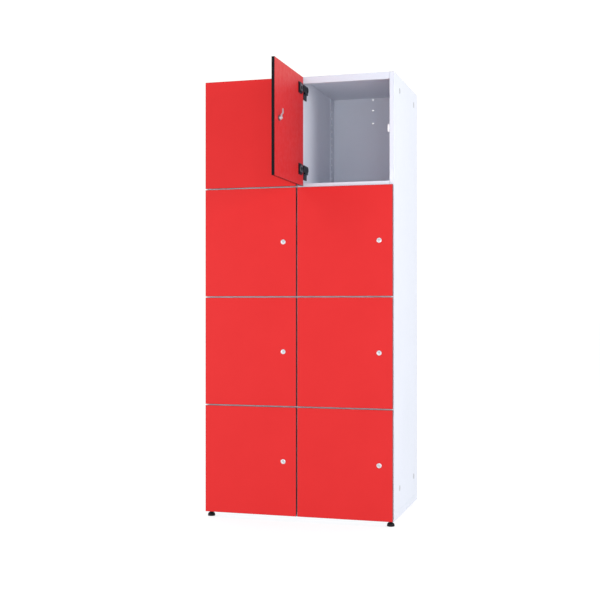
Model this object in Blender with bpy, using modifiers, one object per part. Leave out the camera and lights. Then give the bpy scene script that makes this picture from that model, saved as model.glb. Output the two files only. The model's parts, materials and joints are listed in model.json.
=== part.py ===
"""Locker cabinet: two columns of four compartments, each with a hinged and lockable door.

Units are metres and +Z is up. The origin is the centre of the bottom panel's underside,
+X runs to the right, +Y to the back, and the doors face -Y.
"""
import math

import bmesh
import bpy
from mathutils import Matrix, Vector

# Carcass of folded sheet
COLUMN_NAMES = ("left", "right")
TIER_COUNT = 4
COLUMN_WIDTH = 0.400
TIER_HEIGHT = 0.450
CARCASS_DEPTH = 0.536
WALL_THICKNESS = 0.019
SHELF_THICKNESS = 0.028
SHEET = 0.0008
STILE_DEPTH = 0.065
WALL_RECESS = 0.003
WALL_SEAM = 0.0006
LIP_RETURN = 0.015
BACK_RECESS = 0.0015
SEAT_GAP = 0.0003

# Vents in the back panel, in the middle of each compartment, counted down from the tier's upper line
VENT_DIAMETER = 0.006
VENT_DROPS = (0.0075, 0.055, 0.114)

# Doors, one of them standing open
DOOR_THICKNESS = 0.012
DOOR_REVEAL = 0.0025
DOOR_STANDOFF = 0.005
OPEN_DOOR = ("right", 1)
OPEN_ANGLE = math.radians(90)

# Hinges: a leaf on the door, an arm on the wall, and the axis near the door's outer face
AXIS_FACE_DISTANCE = 0.001
SWING_CLEARANCE = 0.0006
LEAF_WIDTH = 0.046
LEAF_HEIGHT = 0.046
LEAF_THICKNESS = 0.009
LEAF_NOSE_GAP = 0.0008
LEAF_CEILING_GAP = 0.0035
LEAF_CORNER = 0.004
ARM_HEIGHT = 0.060
ARM_DEPTH = 0.050
ARM_THICKNESS = 0.0115
ARM_SETBACK = 0.008
ARM_FLOOR_GAP = 0.0015
NOSE_HEIGHT = 0.030
NOSE_THICKNESS = 0.0035
NOSE_DOOR_GAP = 0.0003

# Locks
LOCK_EDGE_DISTANCE = 0.055
LOCK_FLANGE_DIAMETER = 0.020
LOCK_FLANGE_THICKNESS = 0.0015
LOCK_BARREL_DIAMETER = 0.016
LOCK_NUT_DIAMETER = 0.022
LOCK_NUT_THICKNESS = 0.006
LOCK_TAIL = 0.003
PLUG_DIAMETER = 0.010
PLUG_CLEARANCE = 0.0003
KEY_SLOT_WIDTH = 0.0012
KEY_SLOT_HEIGHT = 0.006
KEY_SLOT_DEPTH = 0.0012
CAM_REACH = 0.036
CAM_WIDTH = 0.014
CAM_THICKNESS = 0.003
CAM_END_FLAT = 0.0014
CAM_GAP = 0.0003
CAM_RIVET = 0.001

# Feet
FOOT_HEIGHT = 0.020
FOOT_DIAMETER = 0.031
FOOT_RIM = 0.003
FOOT_COLLAR_DIAMETER = 0.014
FOOT_COLLAR = 0.004
FRONT_FOOT_INSET = 0.017
REAR_FOOT_INSET = 0.040
FOOT_CLEARANCE = 0.003
FOOT_SEAT_RECESS = 0.0005
FOOT_BLOCK = 0.060
STEM_DIAMETER = 0.008
STEM_LENGTH = 0.024
STEM_CLEARANCE = 0.0003
DOME_STEPS = 4

# Facets of round pieces, and the overlap that lets two shapes join or cut cleanly
ROUND_SEGMENTS = 16
VENT_SEGMENTS = 10
CORNER_SEGMENTS = 2
ROUND_PROFILE = 0.5
SHARP_ANGLE = math.radians(35)
MERGE_DISTANCE = 0.00001
OVERLAP = 0.001

# Places of the axes in a point
X, Y, Z = range(3)

# Sizes that follow
CABINET_WIDTH = COLUMN_WIDTH * len(COLUMN_NAMES)
CABINET_HEIGHT = TIER_HEIGHT * TIER_COUNT
FRONT = -CARCASS_DEPTH / 2
REAR = CARCASS_DEPTH / 2
BACK_FRONT = REAR - BACK_RECESS - SHEET
WALL_BOTTOM = SHELF_THICKNESS + SEAT_GAP
WALL_TOP = CABINET_HEIGHT - SHEET - SEAT_GAP

# The door's inner edge turns about the axis and passes the carcass with the swing clearance
AXIS_TO_INNER_FACE = DOOR_THICKNESS - AXIS_FACE_DISTANCE
SWING_RADIUS = DOOR_STANDOFF + AXIS_TO_INNER_FACE - SWING_CLEARANCE
AXIS_INSET = DOOR_REVEAL + math.sqrt(SWING_RADIUS ** 2 - AXIS_TO_INNER_FACE ** 2)
AXIS_Y = FRONT - DOOR_STANDOFF - AXIS_TO_INNER_FACE
OUTER_FACE = -AXIS_FACE_DISTANCE

# The hinge arm's nose bears on the closed door and stays outside the circle of the door's inner edge;
# the leaf starts beside it, and both are counted from the wall's inner face
NOSE_CLEAR_RADIUS = SWING_RADIUS + SEAT_GAP
NOSE_FROM_AXIS = math.sqrt(NOSE_CLEAR_RADIUS ** 2 - (AXIS_TO_INNER_FACE + NOSE_DOOR_GAP) ** 2)
NOSE_LEFT = max(SEAT_GAP, AXIS_INSET + NOSE_FROM_AXIS - WALL_THICKNESS)
LEAF_LEFT = NOSE_LEFT + NOSE_THICKNESS + LEAF_NOSE_GAP

# Heights above a tier's lower line
LEAF_TOPS = {
    "upper": TIER_HEIGHT - SHELF_THICKNESS - LEAF_CEILING_GAP,
    "lower": SHELF_THICKNESS + ARM_FLOOR_GAP + ARM_HEIGHT,
}

# Lock stations, counted inwards from the door's outer face
NUT_START = DOOR_THICKNESS + SEAT_GAP
NUT_END = NUT_START + LOCK_NUT_THICKNESS
BARREL_END = NUT_END + LOCK_TAIL
FLANGE_FRONT = -SEAT_GAP - LOCK_FLANGE_THICKNESS
CAM_START = BARREL_END + CAM_GAP
CAM_END = CAM_START + CAM_THICKNESS


def new_collection(name):
    """A collection in the scene."""
    collection = bpy.data.collections.new(name)
    bpy.context.scene.collection.children.link(collection)
    return collection


def new_material(name, color, roughness, metallic=0.0):
    """A Principled material."""
    material = bpy.data.materials.new(name)
    material.use_nodes = True
    shader = material.node_tree.nodes["Principled BSDF"]
    shader.inputs["Base Color"].default_value = (*color, 1.0)
    shader.inputs["Roughness"].default_value = roughness
    shader.inputs["Metallic"].default_value = metallic
    return material


def mesh_from(name, bm):
    """A mesh made of a bmesh, which is freed."""
    mesh = bpy.data.meshes.new(name)
    bm.to_mesh(mesh)
    bm.free()
    return mesh


def block(low, high, rounded_axis=None, radius=0.0):
    """A box between two corners, with the edges along one axis rounded if a radius is given."""
    low = Vector(low)
    high = Vector(high)
    bm = bmesh.new()
    stretch = Matrix.Diagonal((*(high - low), 1.0))
    bmesh.ops.create_cube(bm, size=1.0, matrix=Matrix.Translation((low + high) / 2) @ stretch)
    if rounded_axis is not None:
        edges = []
        for edge in bm.edges:
            run = edge.verts[1].co - edge.verts[0].co
            if abs(run[rounded_axis]) > run.length / 2:
                edges.append(edge)
        bmesh.ops.bevel(
            bm, geom=edges, offset=radius, segments=CORNER_SEGMENTS, profile=ROUND_PROFILE, affect="EDGES")
    return mesh_from("block", bm)


def prism(outline, axis, start, end):
    """A solid of constant section: an outline in the two other axes, drawn out along an axis."""
    bm = bmesh.new()
    corners = []
    for first, second in outline:
        corner = [first, second]
        corner.insert(axis, start)
        corners.append(bm.verts.new(corner))
    section = bm.faces.new(corners)
    drawn = bmesh.ops.extrude_face_region(bm, geom=[section])
    run = Vector((0.0, 0.0, 0.0))
    run[axis] = end - start
    moved = [item for item in drawn["geom"] if isinstance(item, bmesh.types.BMVert)]
    bmesh.ops.translate(bm, verts=moved, vec=run)
    bmesh.ops.recalc_face_normals(bm, faces=bm.faces[:])
    return mesh_from("prism", bm)


def sliced(mesh, axis, stations):
    """A mesh whose faces are divided by planes square to an axis."""
    normal = Vector((0.0, 0.0, 0.0))
    normal[axis] = 1.0
    bm = bmesh.new()
    bm.from_mesh(mesh)
    for station in stations:
        geometry = bm.verts[:] + bm.edges[:] + bm.faces[:]
        bmesh.ops.bisect_plane(bm, geom=geometry, plane_co=normal * station, plane_no=normal)
    return mesh_from("sliced", bm)


def rod(start, end, radius, segments=ROUND_SEGMENTS):
    """A cylinder between two points."""
    start = Vector(start)
    end = Vector(end)
    run = end - start
    turn = Vector((0, 0, 1)).rotation_difference(run).to_matrix().to_4x4()
    bm = bmesh.new()
    bmesh.ops.create_cone(
        bm, cap_ends=True, segments=segments, radius1=radius, radius2=radius,
        depth=run.length, matrix=Matrix.Translation((start + end) / 2) @ turn)
    return mesh_from("rod", bm)


def finished(obj):
    """The mesh of a helper object with its modifiers applied; the object is removed."""
    depsgraph = bpy.context.evaluated_depsgraph_get()
    mesh = bpy.data.meshes.new_from_object(obj.evaluated_get(depsgraph))
    bpy.data.objects.remove(obj)
    return mesh


def helper(mesh):
    """A cutter or guide, kept out of the finished model."""
    obj = bpy.data.objects.new("helper", mesh)
    obj.hide_render = True
    obj.display_type = "WIRE"
    cutters.objects.link(obj)
    return obj


def combined(base, operation, tools):
    """A mesh cut by other meshes, or joined with them."""
    body = helper(base)
    tool_objects = [helper(tool) for tool in tools]
    for tool in tool_objects:
        change = body.modifiers.new(operation, "BOOLEAN")
        change.operation = operation
        change.object = tool
    mesh = finished(body)
    for tool in tool_objects:
        bpy.data.objects.remove(tool)
    return mesh


def turned(profile, closed):
    """A mesh of (radius, height) points turned about Z, from a closed loop or from axis to axis."""
    points = [(radius, 0.0, height) for radius, height in profile]
    edges = [(index, index + 1) for index in range(len(points) - 1)]
    if closed:
        edges.append((len(points) - 1, 0))
    mesh = bpy.data.meshes.new("profile")
    mesh.from_pydata(points, edges, [])
    guide = helper(mesh)
    screw = guide.modifiers.new("turn", "SCREW")
    screw.steps = ROUND_SEGMENTS
    screw.render_steps = ROUND_SEGMENTS
    screw.use_merge_vertices = True
    screw.merge_threshold = MERGE_DISTANCE
    return finished(guide)


def smooth(mesh):
    """Round pieces are shaded smooth, with their edges kept sharp."""
    mesh.shade_smooth()
    mesh.set_sharp_from_angle(angle=SHARP_ANGLE)
    return mesh


def place(name, mesh, material, location=(0, 0, 0), parent=None):
    """A named piece of the locker."""
    mesh.materials.clear()
    mesh.materials.append(material)
    obj = bpy.data.objects.new(name, mesh)
    obj.location = location
    obj.parent = parent
    locker.objects.link(obj)
    return obj


def axis_empty(name, location, parent=None, turn=0.0):
    """An empty on a joint's axis."""
    empty = bpy.data.objects.new(name, None)
    empty.location = location
    empty.rotation_euler.z = turn
    empty.parent = parent
    locker.objects.link(empty)
    return empty


def column_edge(column):
    """X of a column's left outer edge."""
    return COLUMN_NAMES.index(column) * COLUMN_WIDTH - CABINET_WIDTH / 2


def tier_base(tier):
    """Z of a tier's lower line; tier 1 is at the top."""
    return (TIER_COUNT - tier) * TIER_HEIGHT


def wall_section(outer, inner, rear):
    """Section of a wall: a sheet folded round it, whose two ends meet at a seam in its inner face.

    Between the stiles at the front and at the rear, the inner face is set back.
    """
    sheet = math.copysign(SHEET, inner - outer)
    field = inner - math.copysign(WALL_RECESS, sheet)
    front_end = FRONT + STILE_DEPTH
    rear_end = rear - STILE_DEPTH
    seam_front = (FRONT + rear - WALL_SEAM) / 2
    seam_rear = seam_front + WALL_SEAM
    outside = [
        (field, seam_front), (field, front_end), (inner, front_end), (inner, FRONT), (outer, FRONT),
        (outer, rear), (inner, rear), (inner, rear_end), (field, rear_end), (field, seam_rear),
    ]
    inside = [
        (field - sheet, seam_rear), (field - sheet, rear_end + SHEET), (inner - sheet, rear_end + SHEET),
        (inner - sheet, rear - SHEET), (outer + sheet, rear - SHEET), (outer + sheet, FRONT + SHEET),
        (inner - sheet, FRONT + SHEET), (inner - sheet, front_end - SHEET),
        (field - sheet, front_end - SHEET), (field - sheet, seam_front),
    ]
    return outside + inside


def build_walls():
    """Side panels stand outside, and two partitions back to back between the columns."""
    for column in COLUMN_NAMES:
        left = column_edge(column)
        right = left + COLUMN_WIDTH
        walls = (("left", left, left + WALL_THICKNESS), ("right", right, right - WALL_THICKNESS))
        for hand, outer, inner in walls:
            if abs(outer) > CABINET_WIDTH / 2 - WALL_THICKNESS:
                name = f"side_panel_{hand}"
                rear = REAR
            else:
                name = f"partition_{column}_column"
                rear = BACK_FRONT - SEAT_GAP
                outer += math.copysign(SEAT_GAP / 2, inner - outer)
            section = wall_section(outer, inner, rear)
            place(name, prism(section, Z, WALL_BOTTOM, WALL_TOP), white_steel)


def lip_points(bottom):
    """Lower part of a front edge's section: its front corner, and the return that is folded back."""
    return [
        (FRONT, bottom), (FRONT + LIP_RETURN, bottom), (FRONT + LIP_RETURN, bottom + SHEET),
        (FRONT + SHEET, bottom + SHEET),
    ]


def build_top():
    """The top sheet lies on the walls, with a folded front edge between the walls of each column."""
    half = CABINET_WIDTH / 2
    sheet = block((-half, FRONT, CABINET_HEIGHT - SHEET), (half, REAR, CABINET_HEIGHT))
    lip_top = CABINET_HEIGHT - SHEET / 2
    section = [(FRONT, lip_top)] + lip_points(CABINET_HEIGHT - SHELF_THICKNESS) + [(FRONT + SHEET, lip_top)]
    lips = []
    for column in COLUMN_NAMES:
        left = column_edge(column) + WALL_THICKNESS + SEAT_GAP
        right = column_edge(column) + COLUMN_WIDTH - WALL_THICKNESS - SEAT_GAP
        lips.append(prism(section, X, left, right))
    place("top_panel", combined(sheet, "UNION", lips), white_steel)


def foot_places():
    """Name and centre of each foot; the rear feet are set further in from the sides and the rear."""
    rows = (
        ("front", FRONT_FOOT_INSET, FRONT + FRONT_FOOT_INSET),
        ("rear", REAR_FOOT_INSET, REAR - REAR_FOOT_INSET),
    )
    places = {}
    for row, inset, y in rows:
        x = CABINET_WIDTH / 2 - inset
        places[f"{row}_left"] = (-x, y)
        places[f"{row}_right"] = (x, y)
    return places


def build_bottom():
    """The bottom panel is a flat sleeve open at the back, with a solid block for each foot's stem.

    The underside is set in by the foot seat's recess round each foot.
    """
    half = CABINET_WIDTH / 2
    ground = SHEET
    ceiling = SHELF_THICKNESS - SHEET
    cuts = [
        block((FOOT_BLOCK - half, FRONT + SHEET, ground), (half - FOOT_BLOCK, REAR + OVERLAP, ceiling)),
        block((SHEET - half, FRONT + FOOT_BLOCK, ground), (half - SHEET, REAR - FOOT_BLOCK, ceiling)),
    ]
    bore_radius = STEM_DIAMETER / 2 + STEM_CLEARANCE
    seat = FOOT_DIAMETER / 2 + FOOT_CLEARANCE
    for x, y in foot_places().values():
        cuts.append(rod((x, y, -OVERLAP), (x, y, SHELF_THICKNESS + OVERLAP), bore_radius))
        edges_x = sorted((x - math.copysign(seat, x), math.copysign(half + OVERLAP, x)))
        edges_y = sorted((y - math.copysign(seat, y), math.copysign(REAR + OVERLAP, y)))
        cuts.append(block((edges_x[0], edges_y[0], -OVERLAP), (edges_x[1], edges_y[1], FOOT_SEAT_RECESS)))
    board = block((-half, FRONT, 0.0), (half, REAR, SHELF_THICKNESS))
    place("bottom_panel", combined(board, "DIFFERENCE", cuts), white_steel)


def build_shelves():
    """Fixed shelves centred on the lines between tiers, folded down at the front and at the rear.

    Between the stiles of the walls a shelf runs out to the walls' inner faces.
    """
    rear = BACK_FRONT - SEAT_GAP
    wing_front = FRONT + STILE_DEPTH + SEAT_GAP
    wing_rear = rear - STILE_DEPTH - SEAT_GAP
    for column in COLUMN_NAMES:
        left = column_edge(column)
        right = left + COLUMN_WIDTH
        inset = WALL_THICKNESS + SEAT_GAP
        wing_inset = inset - WALL_RECESS
        for tier in range(1, TIER_COUNT):
            top = tier_base(tier) + SHELF_THICKNESS / 2
            under = top - SHEET
            section = [(FRONT, top)] + lip_points(top - SHELF_THICKNESS) + [
                (FRONT + SHEET, under), (rear - SHEET, under), (rear - SHEET, top - LIP_RETURN),
                (rear, top - LIP_RETURN), (rear, top),
            ]
            shelf = prism(section, X, left + inset, right - inset)
            wings = block((left + wing_inset, wing_front, under), (right - wing_inset, wing_rear, top))
            place(f"shelf_{column}_{tier}", combined(shelf, "UNION", [wings]), white_steel)


def build_back():
    """The back panel stands between the side panels, with a row of vents for each compartment."""
    half = CABINET_WIDTH / 2 - WALL_THICKNESS - SEAT_GAP
    board = block((-half, BACK_FRONT, WALL_BOTTOM), (half, BACK_FRONT + SHEET, WALL_TOP))
    board = sliced(board, X, [column_edge(column) for column in COLUMN_NAMES[1:]])
    board = sliced(board, Z, [tier_base(tier) for tier in range(1, TIER_COUNT)])
    vents = []
    for column in COLUMN_NAMES:
        x = column_edge(column) + COLUMN_WIDTH / 2
        for tier in range(1, TIER_COUNT + 1):
            for drop in VENT_DROPS:
                z = tier_base(tier) + TIER_HEIGHT - drop
                start = (x, BACK_FRONT - OVERLAP, z)
                end = (x, BACK_FRONT + SHEET + OVERLAP, z)
                vents.append(rod(start, end, VENT_DIAMETER / 2, VENT_SEGMENTS))
    place("back_panel", combined(board, "DIFFERENCE", vents), white_steel)


def door_mesh():
    """A door about its hinge axis, with its two hinge leaves and the bore for the lock."""
    inner_face = AXIS_TO_INNER_FACE
    low = (DOOR_REVEAL - AXIS_INSET, OUTER_FACE, DOOR_REVEAL)
    high = (COLUMN_WIDTH - DOOR_REVEAL - AXIS_INSET, inner_face, TIER_HEIGHT - DOOR_REVEAL)
    leaf_left = WALL_THICKNESS + LEAF_LEFT - AXIS_INSET
    leaves = []
    for leaf_top in LEAF_TOPS.values():
        leaf_low = (leaf_left, inner_face - OVERLAP, leaf_top - LEAF_HEIGHT)
        leaf_high = (leaf_left + LEAF_WIDTH, inner_face + LEAF_THICKNESS, leaf_top)
        leaves.append(block(leaf_low, leaf_high, Y, LEAF_CORNER))
    x, y, z = lock_centre()
    bore_radius = LOCK_BARREL_DIAMETER / 2 + SEAT_GAP
    bore = rod((x, y - OVERLAP, z), (x, y + DOOR_THICKNESS + OVERLAP, z), bore_radius)
    with_leaves = combined(block(low, high), "UNION", leaves)
    return combined(with_leaves, "DIFFERENCE", [bore])


def lock_centre():
    """Centre of the lock on the door's outer face, from the hinge axis."""
    x = COLUMN_WIDTH - DOOR_REVEAL - LOCK_EDGE_DISTANCE - AXIS_INSET
    return (x, OUTER_FACE, TIER_HEIGHT / 2)


def barrel_mesh():
    """Lock barrel with its flange outside the door, its nut inside, and a bore for the key plug."""
    bore = PLUG_DIAMETER / 2 + PLUG_CLEARANCE
    barrel = LOCK_BARREL_DIAMETER / 2
    flange = LOCK_FLANGE_DIAMETER / 2
    nut = LOCK_NUT_DIAMETER / 2
    profile = [
        (bore, -FLANGE_FRONT), (flange, -FLANGE_FRONT), (flange, SEAT_GAP), (barrel, SEAT_GAP),
        (barrel, -NUT_START), (nut, -NUT_START), (nut, -NUT_END), (barrel, -NUT_END),
        (barrel, -BARREL_END), (bore, -BARREL_END),
    ]
    mesh = turned(profile, closed=True)
    mesh.transform(Matrix.Rotation(math.pi / 2, 4, "X"))
    return smooth(mesh)


def cam_mesh():
    """Key plug with its slot in front and its cam behind, pointing up."""
    plug = rod((0, FLANGE_FRONT, 0), (0, CAM_END + CAM_RIVET, 0), PLUG_DIAMETER / 2)
    half = CAM_WIDTH / 2
    cam = block((-half, CAM_START, -half), (half, CAM_END, CAM_REACH), Y, half - CAM_END_FLAT / 2)
    slot_low = (-KEY_SLOT_WIDTH / 2, FLANGE_FRONT - OVERLAP, -KEY_SLOT_HEIGHT / 2)
    slot_high = (KEY_SLOT_WIDTH / 2, FLANGE_FRONT + KEY_SLOT_DEPTH, KEY_SLOT_HEIGHT / 2)
    return smooth(combined(combined(plug, "UNION", [cam]), "DIFFERENCE", [block(slot_low, slot_high)]))


def arm_mesh():
    """Hinge arm on a wall's inner face, with its nose reaching out towards the door."""
    low = (SEAT_GAP, ARM_SETBACK, -ARM_HEIGHT)
    high = (SEAT_GAP + ARM_THICKNESS, ARM_SETBACK + ARM_DEPTH, 0.0)
    middle = -ARM_HEIGHT / 2
    nose_low = (NOSE_LEFT, NOSE_DOOR_GAP - DOOR_STANDOFF, middle - NOSE_HEIGHT / 2)
    nose_high = (NOSE_LEFT + NOSE_THICKNESS, ARM_SETBACK + OVERLAP, middle + NOSE_HEIGHT / 2)
    return combined(block(low, high), "UNION", [block(nose_low, nose_high)])


def foot_mesh():
    """Levelling foot: threaded stem, collar and domed base, below the bottom panel's underside."""
    stem = STEM_DIAMETER / 2
    collar = FOOT_COLLAR_DIAMETER / 2
    base = FOOT_DIAMETER / 2
    seat = FOOT_SEAT_RECESS - SEAT_GAP
    rim_top = FOOT_RIM - FOOT_HEIGHT
    dome_height = -FOOT_COLLAR - rim_top
    profile = [(0.0, STEM_LENGTH), (stem, STEM_LENGTH), (stem, seat), (collar, seat)]
    for step in range(DOME_STEPS + 1):
        angle = math.pi / 2 * step / DOME_STEPS
        radius = collar + (base - collar) * math.sin(angle)
        profile.append((radius, rim_top + dome_height * math.cos(angle)))
    profile += [(base, -FOOT_HEIGHT), (0.0, -FOOT_HEIGHT)]
    return smooth(turned(profile, closed=False))


def build_doors():
    """Each door with its lock, on empties at the hinge axis and at the lock's axis."""
    door = door_mesh()
    barrel = barrel_mesh()
    cam = cam_mesh()
    for column in COLUMN_NAMES:
        for tier in range(1, TIER_COUNT + 1):
            key = f"{column}_{tier}"
            turn = -OPEN_ANGLE if (column, tier) == OPEN_DOOR else 0.0
            hinge_point = (column_edge(column) + AXIS_INSET, AXIS_Y, tier_base(tier))
            hinge_axis = axis_empty(f"hinge_axis_{key}", hinge_point, turn=turn)
            place(f"door_panel_{key}", door, red_laminate, parent=hinge_axis)
            lock_axis = axis_empty(f"lock_axis_{key}", lock_centre(), parent=hinge_axis)
            place(f"lock_barrel_{key}", barrel, lock_metal, parent=lock_axis)
            place(f"lock_cam_{key}", cam, lock_metal, parent=lock_axis)


def build_hinge_arms():
    """Two hinge arms for each door, on the wall at the column's left."""
    arm = arm_mesh()
    for column in COLUMN_NAMES:
        wall_face = column_edge(column) + WALL_THICKNESS
        for tier in range(1, TIER_COUNT + 1):
            for level, leaf_top in LEAF_TOPS.items():
                location = (wall_face, FRONT, tier_base(tier) + leaf_top)
                place(f"hinge_arm_{column}_{tier}_{level}", arm, black_hinge, location)


def build_feet():
    """Four levelling feet."""
    foot = foot_mesh()
    for corner, (x, y) in foot_places().items():
        place(f"foot_{corner}", foot, black_plastic, (x, y, 0.0))


for old in list(bpy.data.objects):
    bpy.data.objects.remove(old)

locker = new_collection("locker_cabinet")
cutters = new_collection("cutters")

white_steel = new_material("white_steel", (0.86, 0.87, 0.89), 0.45)
red_laminate = new_material("red_laminate", (0.78, 0.035, 0.04), 0.42)
black_hinge = new_material("black_hinge", (0.012, 0.013, 0.018), 0.4)
lock_metal = new_material("lock_metal", (0.75, 0.75, 0.76), 0.25, 1.0)
black_plastic = new_material("black_plastic", (0.01, 0.01, 0.011), 0.5)

build_walls()
build_top()
build_bottom()
build_shelves()
build_back()
build_doors()
build_hinge_arms()
build_feet()
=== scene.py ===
import json
import math

import bmesh
import bpy
from mathutils import Matrix, Vector


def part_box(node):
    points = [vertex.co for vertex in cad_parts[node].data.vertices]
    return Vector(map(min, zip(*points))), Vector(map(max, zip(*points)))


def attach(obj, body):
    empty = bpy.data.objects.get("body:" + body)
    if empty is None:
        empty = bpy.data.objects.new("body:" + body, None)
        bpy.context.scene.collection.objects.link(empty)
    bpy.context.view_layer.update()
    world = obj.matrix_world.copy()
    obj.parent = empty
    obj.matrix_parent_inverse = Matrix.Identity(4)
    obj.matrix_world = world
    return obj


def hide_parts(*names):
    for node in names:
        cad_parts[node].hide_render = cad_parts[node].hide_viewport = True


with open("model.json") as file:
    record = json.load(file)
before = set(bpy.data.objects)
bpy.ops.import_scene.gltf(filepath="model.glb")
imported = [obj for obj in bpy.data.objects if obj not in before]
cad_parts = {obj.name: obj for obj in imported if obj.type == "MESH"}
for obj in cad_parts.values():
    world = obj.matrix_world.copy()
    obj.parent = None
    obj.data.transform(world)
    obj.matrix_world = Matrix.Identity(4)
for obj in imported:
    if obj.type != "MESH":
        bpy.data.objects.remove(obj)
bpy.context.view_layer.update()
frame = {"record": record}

# The frame's own names and places
COLUMNS = ("left", "right")
TIERS = (1, 2, 3, 4)
LEVELS = ("upper", "lower")
KEYS = [f"{column}_{tier}" for column in COLUMNS for tier in TIERS]
JOINTS = {joint["name"]: joint for joint in frame["record"]["behaviour"]["joints"]}
CLOSED_KEY = "left_2"
TOP_LOW, TOP_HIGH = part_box("top_panel")
BOTTOM_LOW, BOTTOM_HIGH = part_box("bottom_panel")
BACK_LOW, BACK_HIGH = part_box("back_panel")
FRONT = TOP_LOW.y
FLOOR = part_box("foot_front_left")[0].z
TIER_HEIGHT = (TOP_HIGH.z - BOTTOM_LOW.z) / len(TIERS)
WALLS = ("side_panel_left", "partition_left_column", "partition_right_column", "side_panel_right")
CORNERS = ("front_left", "front_right", "rear_left", "rear_right")

# Axes and turns
X, Y, Z = range(3)
IDENTITY = Matrix.Identity(4)
OUTWARD = Matrix.Rotation(math.pi / 2, 4, "X")

# Roundness of the shapes
ROUND = 48
SMALL_ROUND = 24
HEX_SIDES = 6
CORNER_STEPS = 8
EDGE_STEPS = 2
WIDE_EDGE_STEPS = 3
ROUND_PROFILE = 0.5
BEVEL_ANGLE = math.radians(40)
SMOOTH_ANGLE = math.radians(32)
MERGE_DISTANCE = 0.000002

# Clearances and edges that several pieces share
SEAT_GAP = 0.0003
THIN_GAP = 0.0001
CUT_MARGIN = 0.01
SMALL_EDGE = 0.0004
SOFT_EDGE = 0.0006
WIDE_EDGE = 0.0014

# Folded sheet
SHEET = 0.0008
BEND_RADIUS = 0.0012
BEND_STEPS = 5
STILE_DEPTH = 0.065
WALL_RECESS = 0.003
WALL_SEAM = 0.0006
LIP_RETURN = 0.015
FOOT_BLOCK = 0.060
FOOT_SEAT = 0.0185
FOOT_SEAT_RECESS = 0.0005
SHEET_EDGE = 0.0003
SLEEVE_EDGE = 0.0012
VENT_RADIUS = 0.003
VENT_DROPS = (0.0075, 0.055, 0.114)

# Pins on the walls' rear folds, counted down from a tier's upper line, their profile in shares of their size
RIVET_RADIUS = 0.0032
RIVET_HEIGHT = 0.0028
RIVET_PROFILE = ((0.0, 0.5), (0.45, 0.55), (0.6, 1.0), (0.8, 0.95), (1.0, 0.5))
RIVET_FOLD_DISTANCE = 0.0168
RIVET_FIRST_DROP = 0.062
RIVET_PITCH = 0.030
RIVET_COUNT = 12

# Doors, with the least part of a face's normal across the door that makes it a laminate face
DOOR_THICKNESS = 0.012
DOOR_EDGE = 0.0007
LAMINATE_NORMAL = 0.99
LOCK_EDGE_DISTANCE = 0.055
LOCK_BORE = 0.0083

# Hinge leaf on the door: a plate, a raised cup with a pocket, and a steel frame round the pocket
LEAF_WIDTH = 0.046
LEAF_HEIGHT = 0.046
LEAF_PLATE = 0.003
LEAF_CORNER = 0.005
LEAF_WALL_GAP = 0.0095
LEAF_SCREW_INSET = 0.0055
CUP_MARGIN = 0.003
CUP_CORNER = 0.006
FRAME_WIDTH = 0.034
FRAME_HEIGHT = 0.027
FRAME_BAR = 0.0055
FRAME_THICKNESS = 0.003
FRAME_CORNER = 0.005
POCKET_DEPTH = 0.0055
POCKET_CORNER = 0.003

# Screw heads, with the cross recess in shares of the head's radius and height
SCREW_RADIUS = 0.0032
SCREW_HEIGHT = 0.0013
SCREW_STEPS = 6
SCREW_CURVE = 0.6
RECESS_REACH = 0.55
RECESS_HALF_WIDTH = 0.12
RECESS_FLOOR = 0.45

# Hinge arm on the wall: a plate, a thicker body in its upper part with a round boss, and a nose
ARM_SETBACK = 0.008
ARM_PLATE = 0.003
ARM_CORNER = 0.005
ARM_BODY_HEIGHT = 0.037
ARM_BODY_INSET = 0.0025
ARM_BODY_CORNER = 0.005
ARM_SCREW_SETBACK = 0.012
ARM_SCREW_RISE = 0.011
NOSE_HEIGHT = 0.028
NOSE_TOP_DISTANCE = 0.0155
NOSE_LEFT = 0.0053
NOSE_RIGHT = 0.0085
NOSE_ROOT = 0.012
NOSE_CORNER = 0.0015

# Boss of the hinge arm, its profile as shares of the radius and drops below its top
BOSS_RADIUS = 0.0115
BOSS_PROUD = 0.002
BOSS_LENGTH = 0.004
BOSS_PROFILE = ((0.0, 0.0008), (0.3, 0.0008), (0.36, 0.0), (0.86, 0.0), (0.96, 0.0004), (1.0, 0.0012))
BOSS_REAR_DISTANCE = 0.0125
BOSS_TOP_DISTANCE = 0.0170

# Lock, with the plug's rim as distances in from its radius and down from its front
FLANGE_RADIUS = 0.010
FLANGE_THICKNESS = 0.0015
FLANGE_EDGE = 0.0006
FLANGE_EDGE_STEPS = 6
FLANGE_RIM_WIDTH = 0.0022
FLANGE_RIM_DROP = 0.0004
BARREL_RADIUS = 0.0080
BARREL_CHAMFER = 0.0005
PLUG_RADIUS = 0.0050
PLUG_BORE = 0.0053
PLUG_BORE_CHAMFER = 0.0003
PLUG_RECESS = 0.0002
PLUG_RIM = ((0.0008, 0.0), (0.0003, 0.0002), (0.0, 0.0006))
NUT_CORNER = 0.011
NUT_THICKNESS = 0.006
TAIL = 0.003
NUT_SEAT = -(DOOR_THICKNESS + SEAT_GAP)
BARREL_END = -(DOOR_THICKNESS + SEAT_GAP + NUT_THICKNESS + TAIL)
THREAD_PITCH = 0.001
THREAD_DEPTH = 0.0004
SLOT_WIDTH = 0.0014
SLOT_HEIGHT = 0.0066
SLOT_DEPTH = 0.0012
SLOT_REACH_SHARE = 0.51
BOLT_CORNER = 0.0042
BOLT_HEIGHT = 0.0028
BOLT_SINK = 0.0004
CAM_REACH = 0.036
CAM_HALF_WIDTH = 0.0068
CAM_TIP_HALF_WIDTH = 0.0058
CAM_LEAST_HALF_WIDTH = 0.0004
CAM_THICKNESS = 0.0025
CAM_CRANK = 0.0055
CAM_BEND_START = 0.011
CAM_BEND_END = 0.020
CAM_STATIONS = 40

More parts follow.
